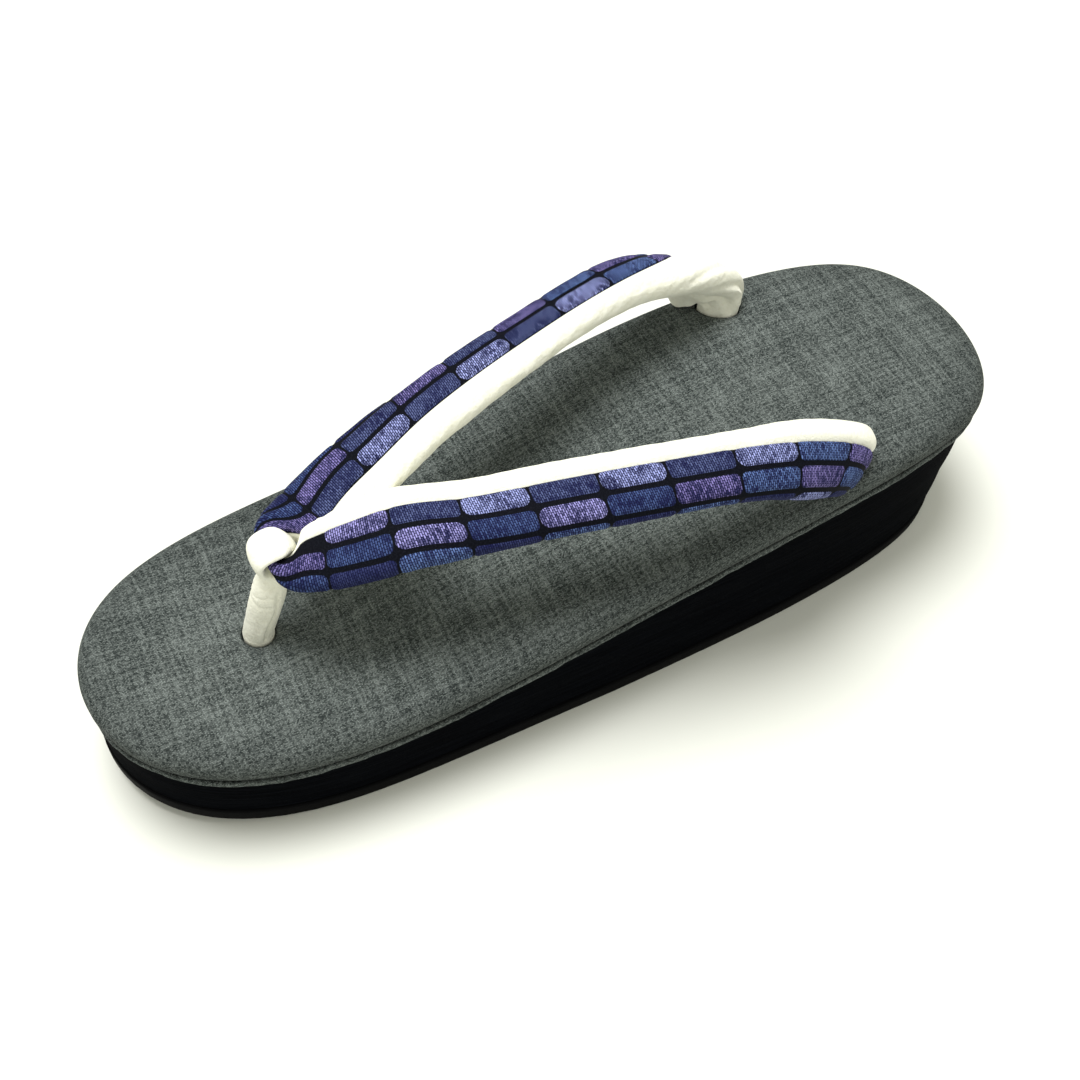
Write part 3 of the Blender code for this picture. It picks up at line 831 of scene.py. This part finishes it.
def swept(middles, wides, thins, half, thick, closed, count):
    """An oval section along a line, as points and faces, either closed or with flat ends."""
    angles = np.arange(count) * 2.0 * np.pi / count
    rings = []
    for i in range(len(middles)):
        flat = np.column_stack((half[i] * np.cos(angles), thick[i] * np.sin(angles)))
        rings.append(middles[i] + flat[:, :1] * wides[i] + flat[:, 1:] * thins[i])
    total = len(rings)
    points = np.vstack(rings)
    faces = ring_faces(total, count)
    if closed:
        last = (total - 1) * count
        faces += [(last + i, last + (i + 1) % count, (i + 1) % count, i) for i in range(count)]
        return points, faces
    faces.append(tuple(range(count)))
    faces.append(tuple(range(total * count - 1, (total - 1) * count - 1, -1)))
    return points, faces


def post_lean(z):
    """The place of the stem's middle line along the sole, at a height."""
    rise = (np.asarray(z) - float(top_z(POST_X))) / POST_RADIUS
    return POST_X + np.interp(rise, POST["rise"], POST["lean"]) * POST_RADIUS


def cord_stem():
    """The cord from its pocket's floor up into the strap."""
    foot = -POCKET_DEPTH / POST_RADIUS
    rise = np.concatenate(([foot], POST["rise"]))
    at = np.linspace(foot, rise[-1], 70)
    lean = smooth_curve(rise, np.concatenate(([0.0], POST["lean"])))(at)
    radius = smooth_curve(rise, np.concatenate(([1.0], POST["radius"])))(at)
    in_hole = at < POST["rise"][1]
    radius = np.where(in_hole, 1.0, radius) * POST_RADIUS
    lean = np.where(in_hole, 0.0, lean) * POST_RADIUS
    top = float(top_z(POST_X))
    middles = np.column_stack((POST_X + lean, np.zeros(len(at)), top + at * POST_RADIUS))
    wides = np.tile((1.0, 0.0, 0.0), (len(at), 1))
    thins = np.tile((0.0, 1.0, 0.0), (len(at), 1))
    points, faces = swept(middles, wides, thins, radius, radius, False, 48)
    return piece_from("toe_cord", points, faces)


def cord_loop():
    """The flat loop round the strap's middle, thicker over the top and narrower behind."""
    count = 96
    turn = np.arange(count) * 2.0 * np.pi / count
    tilt = math.radians(8.0)
    along = np.array((math.cos(tilt), 0.0, math.sin(tilt)))
    upward = np.array((-math.sin(tilt), 0.0, math.cos(tilt)))
    flat = rounded(turn, LOOP_HALF_LENGTH, LOOP_HALF_HEIGHT)
    centre = np.array((LOOP_X, 0.0, LOOP_Z))
    middles = centre + flat[:, :1] * along + flat[:, 1:] * upward
    outward = middles - centre
    outward /= np.linalg.norm(outward, axis=1)[:, None]
    across = np.tile((0.0, 1.0, 0.0), (count, 1))
    rear = np.clip(np.cos(turn), 0.0, 1.0) ** np.where(np.sin(turn) > 0.0, 3.0, 0.7)
    cap = np.clip(np.sin(turn), 0.0, 1.0)
    half = LOOP_HALF_BREADTH * (1.0 + 0.12 * cap - 0.50 * rear)
    thick = LOOP_HALF_THICKNESS * (1.0 + 0.15 * cap)
    points, faces = swept(middles, across, outward, half, thick, True, 32)
    return piece_from("loop_tool", points, faces)


def crease_cord(cord):
    """Presses two folds along the stem and the creases round it into the felt."""
    data = cord.data
    co = np.zeros(len(data.vertices) * 3)
    normal = np.zeros(len(data.vertices) * 3)
    data.vertices.foreach_get("co", co)
    data.vertices.foreach_get("normal", normal)
    co = co.reshape(-1, 3)
    normal = normal.reshape(-1, 3)
    height = (co[:, 2] - float(top_z(POST_X))) / MM
    turn = np.arctan2(co[:, 1], co[:, 0] + LENGTH / 2.0 - post_lean(co[:, 2]))
    radius = 4.5
    fold = -1.45 - 0.10 * np.sin(height * 0.4)
    second_fold = 2.2 + 0.03 * height
    beside = (turn - fold) * radius
    depth = 0.45 * hump(beside, 0.55) - 0.22 * hump(beside + 1.2, 0.8)
    depth = depth + 0.30 * hump((turn - second_fold) * radius, 0.7)
    for place, waver, waves, start, deep, width in CORD_CREASES:
        line = place + waver * np.sin(turn * waves + start)
        depth = depth + deep * hump(height - line, width)
    on_stem = step_up(height, -0.5, 1.0) * (1.0 - step_up(height, 17.0, 20.5))
    co = co - normal * (depth * on_stem * MM)[:, None]
    data.vertices.foreach_set("co", co.ravel())
    data.update()
    data.shade_smooth()


def toe_cord():
    cord = cord_stem()
    combine(cord, [cord_loop()], "UNION")
    remesh = cord.modifiers.new("remesh", "REMESH")
    remesh.mode = "VOXEL"
    remesh.voxel_size = 0.28 * MM
    remesh.use_smooth_shade = True
    smooth = cord.modifiers.new("smooth", "SMOOTH")
    smooth.iterations = 5
    smooth.factor = 0.5
    bake_modifiers(cord)
    crease_cord(cord)
    return cord


class Look:
    """A node material in the making: each call adds a node and gives back its output socket."""

    def __init__(self, name, roughness, **fixed):
        self.material = bpy.data.materials.new(name)
        self.material.use_nodes = True
        self.tree = self.material.node_tree
        self.shader = self.tree.nodes["Principled BSDF"]
        self.shader.inputs["Roughness"].default_value = roughness
        for label, value in fixed.items():
            self.shader.inputs[label.replace("_", " ")].default_value = value

    def node(self, kind, inputs=None, **settings):
        made = self.tree.nodes.new(kind)
        for label, value in settings.items():
            setattr(made, label, value)
        for label, value in (inputs or {}).items():
            self.feed(made.inputs[label], value)
        return made

    def feed(self, socket, value):
        if isinstance(value, bpy.types.NodeSocket):
            self.tree.links.new(value, socket)
        else:
            socket.default_value = value

    def place(self):
        return self.node("ShaderNodeTexCoord").outputs["Object"]

    def field(self, name, out="Vector"):
        return self.node("ShaderNodeAttribute", attribute_name=name).outputs[out]

    def noise(self, vector, scale, detail=2.0, rough=0.5):
        """Noise over a place or a field, at one scale or at one for each axis."""
        if isinstance(scale, tuple):
            made = self.node("ShaderNodeMapping", {"Vector": vector, "Scale": scale})
            vector, scale = made.outputs["Vector"], 1.0
        inputs = {"Vector": vector, "Scale": scale, "Detail": detail, "Roughness": rough}
        return self.node("ShaderNodeTexNoise", inputs).outputs["Fac"]

    def brick(self, vector, width, height, gap):
        """Staggered rows of threads: the shade of each one, and the gaps between them."""
        inputs = {
            "Vector": vector,
            "Color1": (0.0, 0.0, 0.0, 1.0),
            "Color2": (1.0, 1.0, 1.0, 1.0),
            "Scale": 1.0,
            "Mortar Size": gap,
            "Mortar Smooth": 0.6,
            "Brick Width": width,
            "Row Height": height,
        }
        made = self.node("ShaderNodeTexBrick", inputs)
        return made.outputs["Color"], made.outputs["Fac"]

    def math(self, operation, first, second=0.0, third=0.0):
        made = self.node("ShaderNodeMath", operation=operation)
        for socket, value in zip(made.inputs, (first, second, third)):
            self.feed(socket, value)
        return made.outputs["Value"]

    def span(self, value, low, high, to_low=0.0, to_high=1.0):
        """A smooth change from to_low to to_high while the value goes from low to high."""
        inputs = {"Value": value, "From Min": low, "From Max": high}
        inputs.update({"To Min": to_low, "To Max": to_high})
        made = self.node("ShaderNodeMapRange", inputs, interpolation_type="SMOOTHSTEP")
        return made.outputs["Result"]

    def mix(self, factor, first, second, blend="MIX"):
        """Blends two colours, each one a socket or three numbers."""
        made = self.node("ShaderNodeMix", data_type="RGBA", blend_type=blend)
        self.feed(made.inputs[0], factor)
        for socket, colour in ((made.inputs[6], first), (made.inputs[7], second)):
            self.feed(socket, colour + (1.0,) if isinstance(colour, tuple) else colour)
        return made.outputs[2]

    def finish(self, colour, roughness=None, heights=()):
        """Sets the base colour, the roughness, and a chain of bumps of (height, strength, distance)."""
        self.feed(self.shader.inputs["Base Color"], colour)
        if roughness is not None:
            self.feed(self.shader.inputs["Roughness"], roughness)
        relief = {}
        for height, strength, distance in heights:
            relief.update({"Strength": strength, "Distance": distance, "Height": height})
            relief["Normal"] = self.node("ShaderNodeBump", relief).outputs["Normal"]
        if heights:
            self.feed(self.shader.inputs["Normal"], relief["Normal"])
        return self.material


def heathered_cloth():
    look = Look("grey_heathered_cloth", 0.85, Specular_IOR_Level=0.06)
    cloth = look.field("cloth")
    tint, gap = look.brick(cloth, *FOOTBED_THREAD)
    speck = look.noise(cloth, (3.6, 5.4, 1.0), 2.0, 0.6)
    streak = look.noise(cloth, (0.06, 1.6, 1.0))
    cross = look.noise(cloth, (1.4, 0.08, 1.0))
    cloud = look.noise(cloth, 0.05)
    light = look.math("MULTIPLY_ADD", tint, 0.34, look.span(speck, 0.34, 0.66, 0.27, 0.39))
    light = look.math("ADD", light, look.span(streak, 0.35, 0.68, -0.05, 0.05))
    light = look.math("ADD", light, look.span(cross, 0.35, 0.68, -0.06, 0.06))
    light = look.math("ADD", light, look.span(cloud, 0.3, 0.7, -0.02, 0.02))
    dark = look.mix(look.span(light, 0.15, 1.0), (0.015, 0.020, 0.020), (0.340, 0.380, 0.362))
    colour = look.mix(look.math("MULTIPLY", gap, 0.6), dark, (0.014, 0.018, 0.017))
    # Painted shade: the colour is painted darker low on the footbed's side, by up to a quarter below 3
    # mm over the lower edge, and darker within 15 mm of the outline, by up to a fifth.
    rise = look.node("ShaderNodeSeparateXYZ", {"Vector": cloth}).outputs["Z"]
    edge = look.field("edge", "Fac")
    side = look.span(rise, 3.0, 9.0, 0.75, 1.0)
    shoulder = look.math("MULTIPLY", side, look.span(edge, 0.0, 15.0, 0.80, 1.0))
    # Painted highlight: a lighter stripe along the bead just over the lower edge.
    from_bead = look.math("ABSOLUTE", look.math("SUBTRACT", rise, BEAD_HIGHLIGHT_HEIGHT))
    bead_highlight = look.span(from_bead, 0.75, 1.15, 0.35, 0.0)
    # Painted shade: a darker stripe in the groove above the bead.
    from_groove = look.math("ABSOLUTE", look.math("SUBTRACT", rise, GROOVE_SHADE_HEIGHT))
    groove_shade = look.span(from_groove, 0.35, 0.8, 0.6, 0.0)
    # The painted shade and highlight together, never below 0.12, multiply the cloth's colour.
    shade = look.math("ADD", look.math("SUBTRACT", shoulder, groove_shade), bead_highlight)
    shade = look.math("MAXIMUM", shade, 0.12)
    level = look.node("ShaderNodeCombineXYZ", {"X": shade, "Y": shade, "Z": shade}).outputs["Vector"]
    colour = look.mix(1.0, colour, level, "MULTIPLY")
    height = look.math("SUBTRACT", look.math("MULTIPLY", light, 0.6), gap)
    return look.finish(colour, None, ((height, 0.45, 0.00014), (cloud, 0.15, 0.001)))


def wedge_cloth():
    look = Look("black_wedge_cloth", 0.85, Specular_IOR_Level=0.01)
    cloth = look.field("cloth")
    rib = look.noise(cloth, (0.05, 0.05, 1.7), 3.0, 0.6)
    yarn = look.noise(cloth, (0.8, 0.8, 3.2), 2.0, 0.6)
    colour = look.mix(look.span(rib, 0.35, 0.72), (0.0006, 0.0008, 0.0014), (0.0026, 0.0031, 0.0046))
    colour = look.mix(look.span(yarn, 0.55, 0.8, 0.0, 0.5), colour, (0.006, 0.007, 0.009))
    return look.finish(colour, None, ((rib, 0.6, 0.0005), (yarn, 0.3, 0.0002)))


def rubber():
    look = Look("black_rubber", 0.60, Specular_IOR_Level=0.03)
    place = look.place()
    grain = look.noise(place, 900.0, 3.0, 0.6)
    dust = look.noise(place, 45.0, 4.0, 0.6)
    colour = look.mix(look.span(dust, 0.4, 0.8), (0.0018, 0.0018, 0.0022), (0.0050, 0.0050, 0.0056))
    rough = look.span(dust, 0.3, 0.7, 0.55, 0.75)
    return look.finish(colour, rough, ((grain, 0.35, 0.0003),))


def felt():
    look = Look("white_felt", 0.95, Specular_IOR_Level=0.2, Sheen_Weight=0.15, Sheen_Roughness=0.6)
    look.shader.inputs["Sheen Tint"].default_value = (1.0, 0.99, 0.94, 1.0)
    place = look.place()
    fine = look.noise(place, 3200.0, 3.0, 0.7)
    nap = look.noise(place, 1100.0, 3.0, 0.6)
    soft = look.noise(place, 160.0)
    colour = look.mix(look.span(soft, 0.35, 0.7), (0.93, 0.925, 0.80), (0.955, 0.95, 0.84))
    colour = look.mix(look.span(nap, 0.30, 0.55, 0.35, 0.0), colour, (0.80, 0.78, 0.62))
    return look.finish(colour, None, ((soft, 0.25, 0.0012), (nap, 0.5, 0.0005), (fine, 0.5, 0.0002)))


def brocade():
    look = Look("woven_block_cloth", 0.75, Specular_IOR_Level=0.06)
    run = look.field("run", "Fac")
    down = look.field("down", "Fac")
    inside = look.field("inside", "Fac")
    yarn = look.field("yarn", "Color")
    flat = look.node("ShaderNodeCombineXYZ", {"X": down, "Y": run}).outputs["Vector"]
    tint, gap = look.brick(flat, *COVER_THREAD)
    fray = look.noise(flat, 2.4, 2.0, 0.6)
    drift = look.noise(flat, 0.15)
    bright = look.math("MULTIPLY_ADD", tint, 0.40, look.span(fray, 0.35, 0.65, 0.20, 0.42))
    bright = look.math("ADD", bright, look.span(drift, 0.3, 0.7, -0.10, 0.10))
    lit = look.mix(look.span(bright, 0.15, 0.85), (0.010, 0.012, 0.060), yarn)
    colour = look.mix(look.math("MULTIPLY", gap, 0.95), lit, (0.006, 0.007, 0.034))
    mask = look.span(inside, -0.04, 0.10)
    ground = look.mix(look.span(fray, 0.4, 0.75), (0.0020, 0.0024, 0.0050), (0.007, 0.008, 0.013))
    colour = look.mix(mask, ground, colour)
    height = look.math("MULTIPLY", mask, look.math("SUBTRACT", look.math("MULTIPLY", bright, 0.5), gap))
    return look.finish(colour, None, ((height, 0.65, 0.00018),))


def pale_floor():
    look = Look("pale_floor", 0.9, Specular_IOR_Level=0.2)
    place = look.place()
    soft = look.noise(place, 6.0)
    colour = look.mix(look.span(soft, 0.3, 0.7), (0.83, 0.84, 0.78), (0.85, 0.86, 0.80))
    return look.finish(colour)


def dress(piece, node, look):
    """Gives a piece its look, hangs it on the root body and hides the node that it stands for."""
    piece.data.materials.clear()
    piece.data.materials.append(look)
    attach(piece, "root")
    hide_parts(node)


def key_light():
    """The lamp high over the toe's far side, turned towards the sandal."""
    data = bpy.data.lights.new("key", "AREA")
    data.shape = "DISK"
    data.size = KEY_SIZE
    data.energy = KEY_POWER
    made = add_object("key", data)
    made.location = KEY_PLACE
    made.rotation_euler = (-Vector(KEY_PLACE)).to_track_quat("-Z", "Y").to_euler()


# The camera before it turns to the sandal: where it stands round the point it aims at, how far it
# rolls, and its focal length in pixels of a picture of FRAME pixels. Then the middle of the sandal
# in pixels from that picture's middle, to which the camera turns, and how much it enlarges.
AZIMUTH = math.radians(24.874)
ELEVATION = math.radians(52.483)
ROLL = math.radians(-0.112)
DISTANCE = 364.33 * MM
AIM = np.array((109.72 * MM - LENGTH / 2.0, 43.59 * MM, 20.0 * MM))
FOCAL = 1169.31
FRAME = 1080.0
SANDAL_CENTRE = (89.5, 92.0)
ENLARGE = 1.12
SENSOR = 36.0

# The light all round, the round lamp, and half the floor's side.
WORLD_COLOUR = (1.0, 1.0, 0.90, 1.0)
WORLD_STRENGTH = 0.62
KEY_PLACE = (-0.14, 0.26, 1.22)
KEY_SIZE = 0.6
KEY_POWER = 15.5
FLOOR_REACH = 4.0


def camera():
    """The viewpoint from above and the side, with the sandal in the middle of the picture."""
    flat = math.cos(ELEVATION)
    back = np.array((-math.sin(AZIMUTH) * flat, -math.cos(AZIMUTH) * flat, math.sin(ELEVATION)))
    place = AIM + back * DISTANCE
    right = np.cross(-back, (0.0, 0.0, 1.0))
    right /= np.linalg.norm(right)
    up = np.cross(right, -back)
    turned_right = right * math.cos(ROLL) + up * math.sin(ROLL)
    turned_up = up * math.cos(ROLL) - right * math.sin(ROLL)
    ahead = -back * FOCAL + turned_right * SANDAL_CENTRE[0] - turned_up * SANDAL_CENTRE[1]
    ahead /= np.linalg.norm(ahead)
    side = turned_right - ahead * float(turned_right @ ahead)
    side /= np.linalg.norm(side)
    above = np.cross(side, ahead)
    data = bpy.data.cameras.new("camera")
    data.sensor_width = SENSOR
    data.lens = FOCAL / FRAME * SENSOR * ENLARGE
    data.clip_start = 0.01
    made = add_object("camera", data)
    pose = np.eye(4)
    pose[:3] = np.column_stack((side, above, -ahead, place))
    made.matrix_world = Matrix(pose.tolist())
    bpy.context.scene.camera = made


def surroundings():
    corners = ((-1.0, -1.0), (1.0, -1.0), (1.0, 1.0), (-1.0, 1.0))
    points = [(FLOOR_REACH * x, FLOOR_REACH * y, 0.0) for x, y in corners]
    floor = piece_from("floor", points, [(0, 1, 2, 3)])
    floor.data.materials.append(pale_floor())
    world = bpy.data.worlds.new("studio")
    world.use_nodes = True
    background = world.node_tree.nodes["Background"]
    background.inputs["Color"].default_value = WORLD_COLOUR
    background.inputs["Strength"].default_value = WORLD_STRENGTH
    bpy.context.scene.world = world
    key_light()
    bpy.context.scene.view_settings.view_transform = "Standard"


camera()
surroundings()
dress(footbed_cloth(), "footbed", heathered_cloth())
dress(wedge_wrap(), "midsole", wedge_cloth())
dress(outsole_rubber(), "outsole", rubber())
white = felt()
padding = both_arms("strap_padding", padding_arm)
dress(padding, "strap_lining", white)
cover = both_arms("strap_brocade", brocade_arm, COVER_FIELDS, 60.0)
dress(cover, "strap_cover", brocade())
dress(toe_cord(), "toe_post", white)
